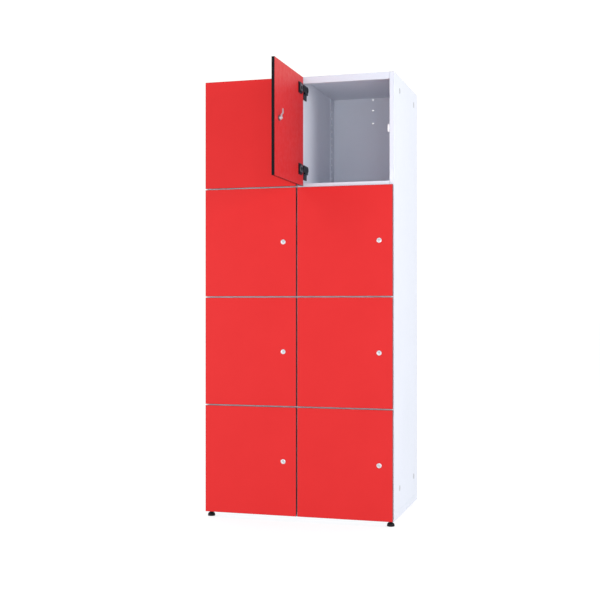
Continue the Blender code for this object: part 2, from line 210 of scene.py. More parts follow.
# Foot
FOOT_RADIUS = 0.0155
FOOT_RIM = 0.003
FOOT_COLLAR = 0.004
FOOT_NECK = 0.007
FOOT_CROWN = 0.001
FOOT_SHOULDER = 0.0008
FOOT_CHAMFER = 0.0008
FOOT_STEPS = 12
COLLAR_CORNER = 0.0072
COLLAR_SINK = 0.002
STEM_RADIUS = 0.004
STEM_LENGTH = 0.024
STEM_BORE = 0.0043
STEM_CHAMFER = 0.0006
STEM_PITCH = 0.0012
STEM_THREAD_DEPTH = 0.0005

# Strikes, with the places of their screws in shares of the depth and the half height
STRIKE_PLATE = 0.002
STRIKE_DEPTH = 0.036
STRIKE_HALF_HEIGHT = 0.0155
STRIKE_CORNER = 0.004
STRIKE_TAB = 0.008
STRIKE_TAB_THICKNESS = 0.003
STRIKE_TAB_CORNER = 0.0025
STRIKE_SETBACK = 0.0015
STRIKE_SCREW_DEPTH = 0.72
STRIKE_SCREW_HEIGHT = 0.6

# Side caps
CAP_RADIUS = 0.012
CAP_HEIGHT = 0.0012
CAP_STEPS = 8
CAP_CURVE = 0.35
CAP_FRONT_DISTANCES = (0.119, 0.446)
CAP_TOP_DISTANCE = 0.057
CAP_BOTTOM_DISTANCE = 0.1165

# Specular levels, and the middle of a noise's range that carries most of its change
DARK_SPECULAR = 0.2
LAMINATE_SPECULAR = 0.2
COAT_SPECULAR = 0.4
PLASTIC_SPECULAR = 0.5
NOISE_LOW = 0.3
NOISE_HIGH = 0.7

# Floor
FLOOR_GLOW = 0.75
FLOOR_RADIUS = 60.0
FLOOR_STEPS = 96
FLOOR_GAP = 0.0005
FLOOR_DARK = (0.30, 0.30, 0.302)
FLOOR_LIGHT = (0.32, 0.32, 0.321)

# Surround, blended from front to rear along the view and from the horizon up
FRONT_SKY = (0.48, 0.52, 0.60)
REAR_SKY = (1.0, 0.99, 0.965)
SKY_FRONT_END = -0.6
SKY_REAR_END = 0.88
HORIZON_LIGHT = 1.045
ZENITH_LIGHT = 1.4
RISE_START = 0.1

# Lights
LIGHTS = {
    "key_softbox": {
        "place": (-2.4, -4.4, 4.2), "target": (0.0, -0.25, 1.0), "size": (1.6, 1.6),
        "power": 30, "color": (1.0, 0.95, 0.84),
    },
    "strip_softbox": {
        "place": (1.35, -5.3, 0.92), "target": (0.0, -0.28, 0.92), "size": (2.4, 0.5),
        "power": 46, "color": (0.94, 0.96, 1.0),
    },
    "side_softbox": {
        "place": (-3.6, -3.2, 0.92), "target": (0.0, -0.28, 0.92), "size": (2.4, 0.4),
        "power": 65, "color": (1.0, 0.97, 0.93),
    },
    "fill_softbox": {
        "place": (3.2, -1.7, 1.9), "target": (0.1, -0.4, 1.5), "size": (1.0, 1.0),
        "power": 42, "color": (1.0, 0.965, 0.95),
    },
}

# Camera, fitted to the photograph's edges
CAMERA_PLACE = (1.2270, -4.5359, 0.8667)
CAMERA_YAW = math.radians(16.876)
CAMERA_LENS = 65.014
CAMERA_SHIFT = (0.03, 0.0083)
SENSOR_WIDTH = 36.0


# Materials

def new_material(name):
    """A material with its node tree, its shader and its object coordinates."""
    material = bpy.data.materials.new(name)
    material.use_nodes = True
    nodes = material.node_tree.nodes
    shader = nodes["Principled BSDF"]
    coordinates = nodes.new("ShaderNodeTexCoord")
    return material, material.node_tree, shader, coordinates.outputs["Object"]


def noise(tree, vector, scale, detail=3.0, stretch=None):
    """A noise texture's factor; stretch scales the coordinates along each axis first."""
    if stretch is not None:
        mapping = tree.nodes.new("ShaderNodeMapping")
        mapping.inputs["Scale"].default_value = stretch
        tree.links.new(vector, mapping.inputs["Vector"])
        vector = mapping.outputs["Vector"]
    texture = tree.nodes.new("ShaderNodeTexNoise")
    texture.inputs["Scale"].default_value = scale
    texture.inputs["Detail"].default_value = detail
    tree.links.new(vector, texture.inputs["Vector"])
    return texture.outputs["Fac"]


def wave(tree, vector, scale, kind, direction, distortion):
    """A wave texture's factor, in bands or in rings."""
    texture = tree.nodes.new("ShaderNodeTexWave")
    texture.wave_type = kind
    if kind == "BANDS":
        texture.bands_direction = direction
    else:
        texture.rings_direction = direction
    texture.inputs["Scale"].default_value = scale
    texture.inputs["Distortion"].default_value = distortion
    tree.links.new(vector, texture.inputs["Vector"])
    return texture.outputs["Fac"]


def vary_color(tree, shader, factor, dark, light):
    """Blends two close colours by a factor, stretched over the middle of the noise's range."""
    ramp = tree.nodes.new("ShaderNodeValToRGB")
    ramp.color_ramp.elements[0].position = NOISE_LOW
    ramp.color_ramp.elements[1].position = NOISE_HIGH
    ramp.color_ramp.elements[0].color = (*dark, 1.0)
    ramp.color_ramp.elements[1].color = (*light, 1.0)
    tree.links.new(factor, ramp.inputs["Fac"])
    tree.links.new(ramp.outputs["Color"], shader.inputs["Base Color"])


def vary_roughness(tree, shader, factor, low, high):
    """Spreads the roughness between two values by a factor."""
    spread = tree.nodes.new("ShaderNodeMapRange")
    spread.inputs["From Min"].default_value = NOISE_LOW
    spread.inputs["From Max"].default_value = NOISE_HIGH
    spread.inputs["To Min"].default_value = low
    spread.inputs["To Max"].default_value = high
    tree.links.new(factor, spread.inputs["Value"])
    tree.links.new(spread.outputs["Result"], shader.inputs["Roughness"])


def bump(tree, shader, factor, strength, distance):
    """Raises the surface by a factor; distance is in metres."""
    node = tree.nodes.new("ShaderNodeBump")
    node.inputs["Strength"].default_value = strength
    node.inputs["Distance"].default_value = distance
    tree.links.new(factor, node.inputs["Height"])
    tree.links.new(node.outputs["Normal"], shader.inputs["Normal"])


def laminate(name, dark, light, roughness, grain, grain_depth):
    """Smooth faced board: faint clouding of the colour, and a fine pearl grain."""
    material, tree, shader, place = new_material(name)
    vary_color(tree, shader, noise(tree, place, scale=5.0), dark, light)
    vary_roughness(tree, shader, noise(tree, place, scale=60.0), *roughness)
    bump(tree, shader, noise(tree, place, scale=grain, detail=2.0), strength=0.35, distance=grain_depth)
    shader.inputs["Specular IOR Level"].default_value = LAMINATE_SPECULAR
    return material


def powder_coat(name, dark, light):
    """Baked powder coat: faint clouding, and an orange peel of low soft waves."""
    material, tree, shader, place = new_material(name)
    vary_color(tree, shader, noise(tree, place, scale=4.0), dark, light)
    vary_roughness(tree, shader, noise(tree, place, scale=45.0), low=0.36, high=0.46)
    bump(tree, shader, noise(tree, place, scale=420.0, detail=2.0), strength=0.3, distance=0.00010)
    shader.inputs["Specular IOR Level"].default_value = COAT_SPECULAR
    return material


def core_material():
    """Pressed black core of the doors, polished, in thin layers along the door's thickness."""
    material, tree, shader, place = new_material("black_core")
    layers = wave(tree, place, scale=300.0, kind="BANDS", direction="Y", distortion=1.5)
    vary_color(tree, shader, layers, dark=(0.003, 0.0031, 0.0038), light=(0.007, 0.0072, 0.0084))
    vary_roughness(tree, shader, noise(tree, place, scale=500.0), low=0.14, high=0.22)
    bump(tree, shader, layers, strength=0.06, distance=0.00004)
    shader.inputs["Specular IOR Level"].default_value = DARK_SPECULAR
    return material


def painted_metal():
    """Satin black enamel of the hinges."""
    material, tree, shader, place = new_material("black_enamel")
    clouds = noise(tree, place, scale=180.0)
    vary_color(tree, shader, clouds, dark=(0.0075, 0.0085, 0.0125), light=(0.015, 0.0165, 0.023))
    vary_roughness(tree, shader, noise(tree, place, scale=420.0), low=0.3, high=0.46)
    bump(tree, shader, noise(tree, place, scale=1500.0, detail=2.0), strength=0.25, distance=0.00006)
    shader.inputs["Specular IOR Level"].default_value = DARK_SPECULAR
    return material


def bright_metal(name, dark, light, roughness, brushed=False):
    """Plated metal; brushed rings run round the lock's axis, and cast pieces are mottled."""
    material, tree, shader, place = new_material(name)
    if brushed:
        marks = noise(tree, place, scale=90.0, detail=4.0, stretch=(1.0, 0.1, 1.0))
        rings = wave(tree, place, scale=900.0, kind="RINGS", direction="Y", distortion=2.0)
        bump(tree, shader, rings, strength=0.08, distance=0.00004)
    else:
        marks = noise(tree, place, scale=350.0, detail=5.0)
        bump(tree, shader, marks, strength=0.12, distance=0.00006)
    vary_color(tree, shader, marks, dark, light)
    vary_roughness(tree, shader, marks, *roughness)
    shader.inputs["Metallic"].default_value = 1.0
    return material


def moulded_plastic(name, dark, light, roughness, specular=PLASTIC_SPECULAR):
    """Moulded plastic with a fine spark-eroded grain."""
    material, tree, shader, place = new_material(name)
    vary_color(tree, shader, noise(tree, place, scale=120.0), dark, light)
    vary_roughness(tree, shader, noise(tree, place, scale=300.0), *roughness)
    bump(tree, shader, noise(tree, place, scale=1800.0, detail=2.0), strength=0.3, distance=0.00008)
    shader.inputs["Specular IOR Level"].default_value = specular
    return material


WHITE = powder_coat("white_powder_coat", dark=(0.69, 0.72, 0.79), light=(0.71, 0.74, 0.81))
RED = laminate(
    "red_laminate", dark=(0.60, 0.0145, 0.0150), light=(0.62, 0.0165, 0.0170),
    roughness=(0.4, 0.5), grain=1000.0, grain_depth=0.00006)
CORE = core_material()
ENAMEL = painted_metal()
CHROME = bright_metal(
    "bright_chrome", dark=(0.60, 0.60, 0.62), light=(0.69, 0.69, 0.71), roughness=(0.36, 0.46), brushed=True)
ZINC = bright_metal(
    "zinc_plate", dark=(0.5, 0.51, 0.53), light=(0.7, 0.71, 0.73), roughness=(0.28, 0.42))
STEEL = bright_metal(
    "dark_steel", dark=(0.20, 0.205, 0.225), light=(0.32, 0.325, 0.345), roughness=(0.34, 0.48))
CAST_METAL = bright_metal(
    "cast_bright_metal", dark=(0.86, 0.865, 0.88), light=(0.94, 0.945, 0.955), roughness=(0.3, 0.42))
FOOT_PLASTIC = moulded_plastic(
    "black_foot_plastic", dark=(0.003, 0.003, 0.004), light=(0.007, 0.007, 0.0085),
    roughness=(0.4, 0.55), specular=DARK_SPECULAR)
CAP_PLASTIC = moulded_plastic(
    "pale_cap_plastic", dark=(0.43, 0.44, 0.46), light=(0.48, 0.49, 0.51), roughness=(0.38, 0.5))
STRIKE_PAINT = moulded_plastic(
    "white_strike_paint", dark=(0.86, 0.87, 0.89), light=(0.9, 0.91, 0.92), roughness=(0.35, 0.45))
PIN_PLASTIC = moulded_plastic(
    "white_pin_plastic", dark=(0.88, 0.885, 0.90), light=(0.92, 0.925, 0.935), roughness=(0.25, 0.35))


# Mesh tools

def shape_mesh(bm):
    """A mesh made of a bmesh, with its faces pointing out."""
    bmesh.ops.recalc_face_normals(bm, faces=bm.faces[:])
    mesh = bpy.data.meshes.new("shape")
    bm.to_mesh(mesh)
    bm.free()
    return mesh


def round_edges(bm, edges, radius, steps):
    """Rounds edges of a bmesh with a bevel of a number of steps."""
    bmesh.ops.bevel(bm, geom=edges, offset=radius, segments=steps, profile=ROUND_PROFILE, affect="EDGES")


def box_shape(low, high, edge=0.0, corner=0.0, corner_axis=None, steps=EDGE_STEPS):
    """A box with rounded edges; the edges along one axis may have a larger corner radius."""
    low = Vector(low)
    high = Vector(high)
    bm = bmesh.new()
    stretch = Matrix.Diagonal((*(high - low), 1.0))
    bmesh.ops.create_cube(bm, size=1.0, matrix=Matrix.Translation((low + high) / 2) @ stretch)
    if corner > 0.0:
        upright = []
        for line in bm.edges:
            run = line.verts[1].co - line.verts[0].co
            if abs(run[corner_axis]) > run.length / 2:
                upright.append(line)
        round_edges(bm, upright, corner, CORNER_STEPS)
    if edge > 0.0:
        sharp = [line for line in bm.edges if line.calc_face_angle(0.0) > BEVEL_ANGLE]
        round_edges(bm, sharp, edge, steps)
    return shape_mesh(bm)


def lathe_shape(profile, steps=ROUND, closed=False):
    """A profile of (radius, height) points turned about Z."""
    bm = bmesh.new()
    points = [bm.verts.new((radius, 0.0, height)) for radius, height in profile]
    lines = [bm.edges.new(pair) for pair in zip(points, points[1:])]
    if closed:
        lines.append(bm.edges.new((points[-1], points[0])))
    bmesh.ops.spin(
        bm, geom=points + lines, cent=(0, 0, 0), axis=(0, 0, 1), angle=2 * math.pi,
        steps=steps, use_merge=True, use_duplicate=False)
    bmesh.ops.remove_doubles(bm, verts=bm.verts[:], dist=MERGE_DISTANCE)
    return shape_mesh(bm)


def dome_profile(radius, height, steps, curve):
    """Profile of a low dome from its crown to its rim; a smaller curve gives a flatter crown."""
    profile = [(0.0, height)]
    for step in range(1, steps + 1):
        angle = math.pi / 2 * step / steps
        profile.append((radius * math.sin(angle), height * math.cos(angle) ** curve))
    return profile


def rod_shape(start, end, radius, steps=SMALL_ROUND):
    """A cylinder between two points."""
    start = Vector(start)
    end = Vector(end)
    run = end - start
    turn = Vector((0, 0, 1)).rotation_difference(run).to_matrix().to_4x4()
    bm = bmesh.new()
    bmesh.ops.create_cone(
        bm, cap_ends=True, segments=steps, radius1=radius, radius2=radius,
        depth=run.length, matrix=Matrix.Translation((start + end) / 2) @ turn)
    return shape_mesh(bm)


def hex_shape(corner_radius, low, high, edge):
    """A six-sided nut along Z, with its edges softened."""
    bm = bmesh.new()
    bmesh.ops.create_cone(
        bm, cap_ends=True, segments=HEX_SIDES, radius1=corner_radius, radius2=corner_radius,
        depth=high - low, matrix=Matrix.Translation((0, 0, (low + high) / 2)))
    round_edges(bm, bm.edges[:], edge, EDGE_STEPS)
    return shape_mesh(bm)


def joined(parts):
    """One mesh of several (mesh, matrix, material index) parts."""
    bm = bmesh.new()
    for mesh, matrix, index in parts:
        count = len(bm.faces)
        mesh.transform(matrix)
        bm.from_mesh(mesh)
        bm.faces.ensure_lookup_table()
        for face in bm.faces[count:]:
            face.material_index = index
        bpy.data.meshes.remove(mesh)
    result = bpy.data.meshes.new("joined")
    bm.to_mesh(result)
    bm.free()
    return result


def joined_keeping(first, others):
    """Joins parts, keeping the first one's own material indices."""
    mesh, matrix = first
    mesh.transform(matrix)
    bm = bmesh.new()
    bm.from_mesh(mesh)
    bm.from_mesh(joined(others))
    result = bpy.data.meshes.new("joined")
    bm.to_mesh(result)
    bm.free()
    return result


def combined(mesh, operation, tools):
    """A mesh cut by other meshes, or united with them."""
    objects = [bpy.data.objects.new("helper", shape) for shape in [mesh] + tools]
    for obj in objects:
        bpy.context.scene.collection.objects.link(obj)
    for tool in objects[1:]:
        change = objects[0].modifiers.new("change", "BOOLEAN")
        change.operation = operation
        change.object = tool
    depsgraph = bpy.context.evaluated_depsgraph_get()
    result = bpy.data.meshes.new_from_object(objects[0].evaluated_get(depsgraph))
    for obj in objects:
        bpy.data.objects.remove(obj)
    return result


def drilled(mesh, cutters):
    """A mesh cut by other meshes, which are joined into one cutter."""
    tool = joined([(cutter, IDENTITY, 0) for cutter in cutters])
    return combined(mesh, "DIFFERENCE", [tool])


def left_of(heading):
    """The direction to the left of a heading in a plane."""
    return Vector((-heading.y, heading.x))


def folded_outline(path):
    """Outline of a sheet whose middle follows straight runs in a plane, with rounded bends."""
    path = [Vector(point) for point in path]
    stations = [(path[0], (path[1] - path[0]).normalized())]
    for before, corner, after in zip(path, path[1:], path[2:]):
        arrive = (corner - before).normalized()
        leave = (after - corner).normalized()
        turn = math.atan2(arrive.cross(leave), arrive.dot(leave))
        side = math.copysign(BEND_RADIUS, turn)
        centre = corner - arrive * BEND_RADIUS * math.tan(abs(turn) / 2) + left_of(arrive) * side
        for step in range(BEND_STEPS + 1):
            heading = Matrix.Rotation(turn * step / BEND_STEPS, 2) @ arrive
            stations.append((centre - left_of(heading) * side, heading))
    stations.append((path[-1], (path[-1] - path[-2]).normalized()))
    left = [point + left_of(heading) * SHEET / 2 for point, heading in stations]
    right = [point - left_of(heading) * SHEET / 2 for point, heading in stations]
    return left + right[::-1]


def drawn_shape(outline, axis, start, end):
    """A solid of constant section: an outline in the two other axes, drawn out along an axis."""
    bm = bmesh.new()
    corners = []
    for first, second in outline:
        corner = [first, second]
        corner.insert(axis, start)
        corners.append(bm.verts.new(corner))
    section = bm.faces.new(corners)
    drawn = bmesh.ops.extrude_face_region(bm, geom=[section])
    run = Vector((0, 0, 0))
    run[axis] = end - start
    moved = [item for item in drawn["geom"] if isinstance(item, bmesh.types.BMVert)]
    bmesh.ops.translate(bm, verts=moved, vec=run)
    return shape_mesh(bm)


def piece(name, mesh, materials, body, nodes=(), matrix=None):
    """A named piece that rides on a body and may stand for CAD nodes."""
    mesh.name = name
    if not mesh.materials:
        for material in materials:
            mesh.materials.append(material)
        mesh.shade_smooth()
        mesh.set_sharp_from_angle(angle=SMOOTH_ANGLE)
    obj = bpy.data.objects.new(name, mesh)
    bpy.context.scene.collection.objects.link(obj)
    if matrix is not None:
        obj.matrix_world = matrix
    weighted = obj.modifiers.new("weighted", "WEIGHTED_NORMAL")
    weighted.keep_sharp = True
    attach(obj, body)
    if nodes:
        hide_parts(*nodes)


def facing(axis, sign):
    """Turns a shape made along +Z to face along X or Y."""
    target = Vector((0, 0, 0))
    target[axis] = sign
    return Vector((0, 0, 1)).rotation_difference(target).to_matrix().to_4x4()


def screw_head():
    """A low domed screw head on the plane z = 0, with a cross recess cut in it."""
    profile = dome_profile(SCREW_RADIUS, SCREW_HEIGHT, SCREW_STEPS, SCREW_CURVE)
    profile += [(SCREW_RADIUS, -SEAT_GAP), (0.0, -SEAT_GAP)]
    head = lathe_shape(profile, SMALL_ROUND)
    reach = SCREW_RADIUS * RECESS_REACH
    half = SCREW_RADIUS * RECESS_HALF_WIDTH
    ground = SCREW_HEIGHT * RECESS_FLOOR
    cross = []
    for x, y in ((reach, half), (half, reach)):
        cross.append(box_shape((-x, -y, ground), (x, y, CUT_MARGIN)))
    return drilled(head, cross)


def compartment(key):
    """Walls, floor and ceiling of a compartment, as its lowest and highest corner."""
    column, tier = key.split("_")
    tier = int(tier)
    if column == "left":
        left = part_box("side_panel_left")[1].x
        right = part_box("partition_left_column")[0].x
    else:
        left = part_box("partition_right_column")[1].x
        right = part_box("side_panel_right")[0].x
    ceiling = TOP_LOW.z if tier == TIERS[0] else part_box(f"shelf_{column}_{tier - 1}")[0].z
    ground = BOTTOM_HIGH.z if tier == TIERS[-1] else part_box(f"shelf_{column}_{tier}")[1].z
    return Vector((left, FRONT, ground)), Vector((right, BACK_LOW.y, ceiling))


def tier_line(tier):
    """Height of a tier's upper line."""
    return TOP_HIGH.z - TIER_HEIGHT * TIERS.index(tier)


# Carcass

def sheet_piece(node, mesh):
    """A folded sheet in a node's place."""
    piece(f"folded_{node}", mesh, [WHITE], "carcass", [node])


def wall_faces(node):
    """Places of a wall's sheet and of its folds, across the wall."""
    low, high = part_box(node)
    if node in ("side_panel_left", "partition_right_column"):
        return low.x, high.x
    return high.x, low.x


def build_walls():
    """Side panels and partitions: a sheet folded round each, set back between its stiles, with a seam."""
    for node in WALLS:
        low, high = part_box(node)
        outer, inner = wall_faces(node)
        half = math.copysign(SHEET / 2, inner - outer)
        front = low.y + SHEET / 2
        rear = high.y - SHEET / 2
        stile = inner - half
        field = stile - math.copysign(WALL_RECESS, half)
        front_end = low.y + STILE_DEPTH - SHEET / 2
        rear_end = high.y - STILE_DEPTH + SHEET / 2
        seam = (low.y + high.y) / 2
        path = [
            (field, seam - WALL_SEAM / 2), (field, front_end), (stile, front_end), (stile, front),
            (outer + half, front), (outer + half, rear), (stile, rear), (stile, rear_end),
            (field, rear_end), (field, seam + WALL_SEAM / 2),
        ]
        sheet_piece(node, drawn_shape(folded_outline(path), Z, low.z, high.z))


def build_top():
    """The top sheet with its folded front edge, which is notched over the walls."""
    front = FRONT + SHEET / 2
    upper = TOP_HIGH.z - SHEET / 2
    lower = TOP_LOW.z + SHEET / 2
    path = [(TOP_HIGH.y, upper), (front, upper), (front, lower), (FRONT + LIP_RETURN, lower)]
    mesh = drawn_shape(folded_outline(path), X, TOP_LOW.x, TOP_HIGH.x)
    edges = [TOP_LOW.x - CUT_MARGIN]
    for column in COLUMNS:
        low, high = compartment(f"{column}_{TIERS[0]}")
        edges += [low.x + SEAT_GAP, high.x - SEAT_GAP]
    edges.append(TOP_HIGH.x + CUT_MARGIN)
    notches = []
    for left, right in zip(edges[::2], edges[1::2]):
        notch_low = (left, FRONT - CUT_MARGIN, TOP_LOW.z - CUT_MARGIN)
        notch_high = (right, FRONT + LIP_RETURN + CUT_MARGIN, TOP_HIGH.z - SHEET)
        notches.append(box_shape(notch_low, notch_high))
    sheet_piece("top_panel", combined(mesh, "DIFFERENCE", notches))


def foot_centre(corner):
    """Centre of a foot in plan."""
    low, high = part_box(f"foot_{corner}")
    return (low.x + high.x) / 2, (low.y + high.y) / 2


def build_bottom():
    """The bottom panel: a flat sleeve open at the back, solid at the corners, set in round the feet."""
    low = BOTTOM_LOW
    high = BOTTOM_HIGH
    ground = low.z + SHEET
    ceiling = high.z - SHEET
    long_low = (low.x + FOOT_BLOCK, low.y + SHEET, ground)
    long_high = (high.x - FOOT_BLOCK, high.y + CUT_MARGIN, ceiling)
    wide_low = (low.x + SHEET, low.y + FOOT_BLOCK, ground)
    wide_high = (high.x - SHEET, high.y - FOOT_BLOCK, ceiling)
    cuts = [box_shape(long_low, long_high), box_shape(wide_low, wide_high)]
    for corner in CORNERS:
        x, y = foot_centre(corner)
        cuts.append(rod_shape((x, y, low.z - CUT_MARGIN), (x, y, high.z + CUT_MARGIN), STEM_BORE))
        edges_x = sorted((x - math.copysign(FOOT_SEAT, x), math.copysign(high.x + CUT_MARGIN, x)))
        edges_y = sorted((y - math.copysign(FOOT_SEAT, y), math.copysign(high.y + CUT_MARGIN, y)))
        seat_low = (edges_x[0], edges_y[0], low.z - CUT_MARGIN)
        cuts.append(box_shape(seat_low, (edges_x[1], edges_y[1], low.z + FOOT_SEAT_RECESS)))
    sheet_piece("bottom_panel", combined(box_shape(low, high, SLEEVE_EDGE), "DIFFERENCE", cuts))


def build_shelves():
    """Shelves folded down at the front and at the rear, with wings out to the walls' inner faces."""
    for column in COLUMNS:
        span_low, span_high = compartment(f"{column}_{TIERS[0]}")
        for tier in TIERS[:-1]:
            node = f"shelf_{column}_{tier}"
            low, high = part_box(node)
            front = low.y + SHEET / 2
            rear = high.y - SHEET / 2
            upper = high.z - SHEET / 2
            lower = low.z + SHEET / 2
            path = [
                (low.y + LIP_RETURN, lower), (front, lower), (front, upper),
                (rear, upper), (rear, high.z - LIP_RETURN),
            ]
            shelf = drawn_shape(folded_outline(path), X, span_low.x + SEAT_GAP, span_high.x - SEAT_GAP)
            wing_low = (low.x, low.y + STILE_DEPTH + SEAT_GAP, high.z - SHEET)
            wing_high = (high.x, high.y - STILE_DEPTH - SEAT_GAP, high.z)
            sheet_piece(node, combined(shelf, "UNION", [box_shape(wing_low, wing_high)]))


def build_back():
    """The back sheet, with a column of round vents at the top of each compartment."""
    vents = []
    for key in KEYS:
        low, high = compartment(key)
        x = (low.x + high.x) / 2
        for drop in VENT_DROPS:
            z = tier_line(int(key[-1])) - drop
            start = (x, BACK_LOW.y - CUT_MARGIN, z)
            vents.append(rod_shape(start, (x, BACK_HIGH.y + CUT_MARGIN, z), VENT_RADIUS))
    sheet_piece("back_panel", drilled(box_shape(BACK_LOW, BACK_HIGH, SHEET_EDGE), vents))


def rivet_shape():
    """A pin's round head with a shallow dish, just off the plane z = 0."""
    profile = [(RIVET_RADIUS * across, RIVET_HEIGHT * up) for across, up in RIVET_PROFILE]
    profile += [(RIVET_RADIUS, THIN_GAP), (0.0, THIN_GAP)]
    return lathe_shape(profile, SMALL_ROUND)


def build_rivets():
    """A row of pins on the rear fold of each wall, in each compartment."""
    for node in WALLS:
        outer, inner = wall_faces(node)
        turn = facing(X, math.copysign(1, inner - outer))
        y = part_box(node)[1].y - STILE_DEPTH + RIVET_FOLD_DISTANCE
        rivets = []
        for tier in TIERS:
            for index in range(RIVET_COUNT):
                z = tier_line(tier) - RIVET_FIRST_DROP - index * RIVET_PITCH
                rivets.append((rivet_shape(), Matrix.Translation((inner, y, z)) @ turn, 0))
        piece(f"pin_rivets_{node}", joined(rivets), [PIN_PLASTIC], "carcass")


def strike_shape(key):
    """A plate with a tab at its front, and two screws."""
    wall = compartment(key)[1].x - THIN_GAP
    face = wall - STRIKE_PLATE
    middle = JOINTS[f"hinge_{key}"]["pos_m"][Z]
    bottom = middle - STRIKE_HALF_HEIGHT
    top = middle + STRIKE_HALF_HEIGHT
    front = FRONT + STRIKE_SETBACK
    plate = box_shape((face, front, bottom), (wall, front + STRIKE_DEPTH, top), SOFT_EDGE, STRIKE_CORNER, X)
    tab_low = (wall - STRIKE_TAB, front, bottom)
    tab_high = (wall - STRIKE_PLATE / 2, front + STRIKE_TAB_THICKNESS, top)
    tab = box_shape(tab_low, tab_high, SOFT_EDGE, STRIKE_TAB_CORNER, Y)
    parts = [(plate, IDENTITY, 0), (tab, IDENTITY, 0)]
    for side in (-1, 1):
        screw_y = front + STRIKE_DEPTH * STRIKE_SCREW_DEPTH
        screw_z = middle + side * STRIKE_HALF_HEIGHT * STRIKE_SCREW_HEIGHT
        parts.append((screw_head(), Matrix.Translation((face, screw_y, screw_z)) @ facing(X, -1), 1))
    return joined(parts)


def build_strikes():
    """A strike on the wall that each cam turns to."""
    for key in KEYS:
        piece(f"strike_{key}", strike_shape(key), [STRIKE_PAINT, ZINC], "carcass")


def build_caps():
    """Round caps over the fastener holes of the outer sides."""
    profile = dome_profile(CAP_RADIUS, CAP_HEIGHT, CAP_STEPS, CAP_CURVE)
    profile += [(CAP_RADIUS, THIN_GAP), (0.0, THIN_GAP)]
    for side, x, sign in (("left", TOP_LOW.x, -1), ("right", TOP_HIGH.x, 1)):
        parts = []
        for z in (TOP_HIGH.z - CAP_TOP_DISTANCE, BOTTOM_LOW.z + CAP_BOTTOM_DISTANCE):
            for distance in CAP_FRONT_DISTANCES:
                spot = Matrix.Translation((x, FRONT + distance, z)) @ facing(X, sign)
                parts.append((lathe_shape(profile), spot, 0))
        piece(f"side_caps_{side}", joined(parts), [CAP_PLASTIC], "carcass")


# Doors, with all places counted from the hinge axis and the door's middle height

def door_matrix(key):
    """Places a closed door's shape at its rest pose."""
    joint = JOINTS[f"hinge_{key}"]
    turn = math.radians(joint["range_deg"][0])
    return Matrix.Translation(joint["pos_m"]) @ Matrix.Rotation(turn, 4, "Z")


CLOSED_LOW, CLOSED_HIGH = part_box(f"door_panel_{CLOSED_KEY}")
CLOSED_AXIS = Vector(JOINTS[f"hinge_{CLOSED_KEY}"]["pos_m"])
DOOR_LOW = CLOSED_LOW - CLOSED_AXIS
DOOR_HIGH = CLOSED_HIGH - CLOSED_AXIS
OUTER_FACE = DOOR_LOW.y
INNER_FACE = OUTER_FACE + DOOR_THICKNESS
LEAF_FACE = DOOR_HIGH.y
LOCK_X = DOOR_HIGH.x - LOCK_EDGE_DISTANCE


def door_shape():
    """Door board: laminate on its two faces, black core on its edges and in the lock's bore."""
    low = (DOOR_LOW.x, OUTER_FACE, DOOR_LOW.z)
    high = (DOOR_HIGH.x, INNER_FACE, DOOR_HIGH.z)
    bore_start = (LOCK_X, OUTER_FACE - CUT_MARGIN, 0)
    bore_end = (LOCK_X, INNER_FACE + CUT_MARGIN, 0)
    bore = rod_shape(bore_start, bore_end, LOCK_BORE, ROUND)
    mesh = drilled(box_shape(low, high, DOOR_EDGE), [bore])
    for face in mesh.polygons:
        face.material_index = 0 if abs(face.normal.y) > LAMINATE_NORMAL else 1
    return mesh


def leaf_shape(top):
    """Hinge leaf: a screwed plate, a raised cup with a pocket, and a steel frame round the pocket."""
    left = compartment(CLOSED_KEY)[0].x + LEAF_WALL_GAP - CLOSED_AXIS.x
    right = left + LEAF_WIDTH
    bottom = top - LEAF_HEIGHT
    middle = Vector(((left + right) / 2, LEAF_FACE, (top + bottom) / 2))
    seat = INNER_FACE + THIN_GAP
    plate = box_shape((left, seat, bottom), (right, seat + LEAF_PLATE, top), SOFT_EDGE, LEAF_CORNER, Y)
    cup_low = (left + CUP_MARGIN, seat + LEAF_PLATE / 2, bottom + CUP_MARGIN)
    cup_high = (right - CUP_MARGIN, LEAF_FACE - FRAME_THICKNESS / 2, top - CUP_MARGIN)
    cup = box_shape(cup_low, cup_high, WIDE_EDGE, CUP_CORNER, Y, WIDE_EDGE_STEPS)
    opening = Vector((FRAME_WIDTH / 2 - FRAME_BAR, 0, FRAME_HEIGHT / 2 - FRAME_BAR))
    depth = Vector((0, POCKET_DEPTH, 0))
    past = Vector((0, CUT_MARGIN, 0))
    pocket = box_shape(middle - opening - depth, middle + opening + past, 0.0, POCKET_CORNER, Y)
    cup = drilled(cup, [pocket])
    outer = Vector((FRAME_WIDTH / 2, 0, FRAME_HEIGHT / 2))
    bar = Vector((0, FRAME_THICKNESS, 0))
    surround = box_shape(middle - outer - bar, middle + outer, SOFT_EDGE, FRAME_CORNER, Y)
    window = box_shape(middle - opening - past, middle + opening + past, 0.0, POCKET_CORNER, Y)
    surround = drilled(surround, [window])
    parts = [(plate, IDENTITY, 0), (cup, IDENTITY, 0), (surround, IDENTITY, 1)]
    for side in (-1, 1):
        screw_z = middle.z + side * (LEAF_HEIGHT / 2 - LEAF_SCREW_INSET)
        spot = (right - LEAF_SCREW_INSET, seat + LEAF_PLATE, screw_z)
        parts.append((screw_head(), Matrix.Translation(spot) @ facing(Y, 1), 1))
    return joined(parts)


